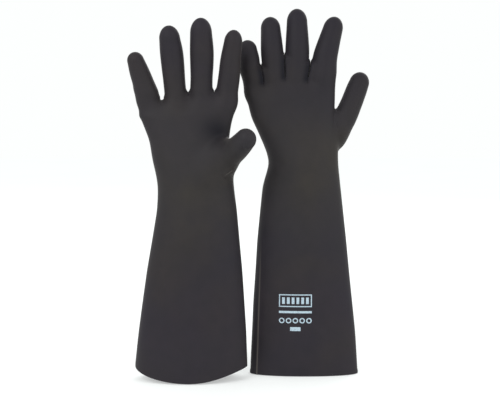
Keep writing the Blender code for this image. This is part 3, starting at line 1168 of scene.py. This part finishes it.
def rubber_material():
    """Matt dipped rubber: nearly black, with cloudy brown and blue tints, a powdery bloom and fine grain,
    painted highlights along two folds, and painted shade from the mesh's shade attribute.
    """
    material, tree, shader = new_material("black rubber")
    place = tree.nodes.new("ShaderNodeTexCoord").outputs["Object"]
    colour = add_ramp(tree, add_noise(tree, place, 9.0, 3.0), RUBBER)
    split = tree.nodes.new("ShaderNodeSeparateXYZ")
    tree.links.new(place, split.inputs[0])
    height = add_math(tree, "DIVIDE", split.outputs["Z"], TINT_HEIGHT)
    waver = add_math(tree, "MULTIPLY", add_noise(tree, place, 14.0, 2.0), TINT_WAVER)
    height = add_math(tree, "ADD", height, waver)
    height = add_math(tree, "SUBTRACT", height, TINT_WAVER / 2)
    colour = mix_colours(tree, "MULTIPLY", 1.0, colour, add_ramp(tree, height, TINTS))
    bloom = add_noise(tree, place, 70.0, 6.0, 0.65)
    colour = mix_colours(tree, "MULTIPLY", 1.0, colour, add_ramp(tree, bloom, DUST))
    front = add_math(tree, "LESS_THAN", split.outputs["Y"], FRONT_BEFORE)
    # Painted highlights along the folds, on the front only
    for start, end, reach, pale in PAINTED_HIGHLIGHT_LINES:
        line = add_math(tree, "MULTIPLY", add_line_mask(tree, place, start, end, reach), front)
        colour = mix_colours(tree, "MIX", line, colour, pale)
    # Painted shade: the mesh's shade attribute mixes the nearly black colour into the rubber
    painted_shade = tree.nodes.new("ShaderNodeAttribute")
    painted_shade.attribute_name = "shade"
    colour = mix_colours(tree, "MIX", painted_shade.outputs["Fac"], colour, PAINTED_SHADE_COLOUR)
    tree.links.new(colour, shader.inputs["Base Color"])
    tree.links.new(add_range(tree, bloom, 0.56, 0.70), shader.inputs["Roughness"])
    grain = add_noise(tree, place, 1500.0, 2.0)
    ripple = add_noise(tree, place, 140.0, 3.0)
    fine = add_bump(tree, grain, 0.10, 0.00025)
    tree.links.new(add_bump(tree, ripple, 0.12, 0.0008, fine), shader.inputs["Normal"])
    shader.inputs["Specular IOR Level"].default_value = 0.18
    shader.inputs["Sheen Weight"].default_value = 0.09
    shader.inputs["Sheen Roughness"].default_value = 0.35
    shader.inputs["Sheen Tint"].default_value = (1.0, 0.92, 0.84, 1.0)
    return material


def ink_material():
    """Pale grey-blue ink, a little worn so that the rubber shows through in specks."""
    material, tree, shader = new_material("pale ink")
    place = tree.nodes.new("ShaderNodeTexCoord").outputs["Object"]
    wear = add_noise(tree, place, 620.0, 5.0, 0.7)
    colour = add_ramp(tree, wear, INK)
    tree.links.new(colour, shader.inputs["Base Color"])
    tree.links.new(add_range(tree, wear, 0.5, 0.7), shader.inputs["Roughness"])
    shader.inputs["Specular IOR Level"].default_value = 0.3
    return material


# ----- Floor, light and camera -----

CAMERA_TARGET = np.array((-0.7, 23.2, 221.2))
CAMERA_DISTANCE = 1300.0
CAMERA_ELEVATION = math.radians(5)
LENS = 74.88
SENSOR = 36.0
CLIP_END = 50.0
BACKDROP = (0.985, 1.0, 0.995, 1.0)
FLOOR_REACH = 6.0
FLOOR_DROP = 0.0005
FLOOR_COLOURS = [(0.3, (0.565, 0.58, 0.575)), (0.7, (0.575, 0.59, 0.585))]
FLOOR_GLOW = 0.42

# Each light's place, size in metres and power in watts
LIGHTS = {
    "key": ((-1.1, -1.6, 1.5), 1.4, 22),
    "fill": ((1.5, -1.2, 0.9), 1.6, 10),
    "back": ((0.9, 1.9, 1.3), 1.8, 16),
}


def make_camera():
    back = np.array((0, -math.cos(CAMERA_ELEVATION), math.sin(CAMERA_ELEVATION)))
    camera = add_object("camera", bpy.data.cameras.new("camera"))
    camera.location = (CAMERA_TARGET + back * CAMERA_DISTANCE) * MM
    camera.rotation_euler = (math.pi / 2 - CAMERA_ELEVATION, 0, 0)
    camera.data.lens = LENS
    camera.data.sensor_width = SENSOR
    camera.data.clip_end = CLIP_END
    bpy.context.scene.camera = camera


def make_light(name, place, size, power):
    light = add_object(name, bpy.data.lights.new(name, "AREA"))
    light.data.shape = "DISK"
    light.data.size = size
    light.data.energy = power
    place = np.array(place)
    light.location = place
    aim = CAMERA_TARGET * MM - place
    light.rotation_euler = (
        math.atan2(math.hypot(aim[0], aim[1]), -aim[2]), 0, math.atan2(aim[1], aim[0]) - math.pi / 2
    )


def make_studio():
    world = bpy.data.worlds.new("studio")
    world.use_nodes = True
    background = world.node_tree.nodes["Background"]
    background.inputs["Color"].default_value = BACKDROP
    background.inputs["Strength"].default_value = 1.0
    bpy.context.scene.world = world
    bpy.context.scene.view_settings.view_transform = "Standard"
    shape = bmesh.new()
    bmesh.ops.create_grid(shape, x_segments=8, y_segments=8, size=FLOOR_REACH)
    mesh = bpy.data.meshes.new("studio_floor")
    shape.to_mesh(mesh)
    shape.free()
    floor = add_object("studio_floor", mesh)
    floor.location = (0, 0, -FLOOR_DROP)
    material, tree, shader = new_material("pale floor")
    place = tree.nodes.new("ShaderNodeTexCoord").outputs["Object"]
    colour = add_ramp(tree, add_noise(tree, place, 3.0, 2.0), FLOOR_COLOURS)
    tree.links.new(colour, shader.inputs["Base Color"])
    shader.inputs["Roughness"].default_value = 0.9
    shader.inputs["Specular IOR Level"].default_value = 0.0
    shader.inputs["Emission Color"].default_value = BACKDROP
    shader.inputs["Emission Strength"].default_value = FLOOR_GLOW
    mesh.materials.append(material)
    for name, (place, size, power) in LIGHTS.items():
        make_light(name, place, size, power)


# ----- The scene -----

make_camera()
make_studio()
rubber = rubber_material()
for side in ("right", "left"):
    glove = read_glove(side)
    make_gauntlet(glove, rubber)
    make_hand_and_thumb(glove, rubber)
    for finger in FINGERS:
        make_finger(glove, finger, rubber)
    if side == "left":
        make_print(glove, ink_material())
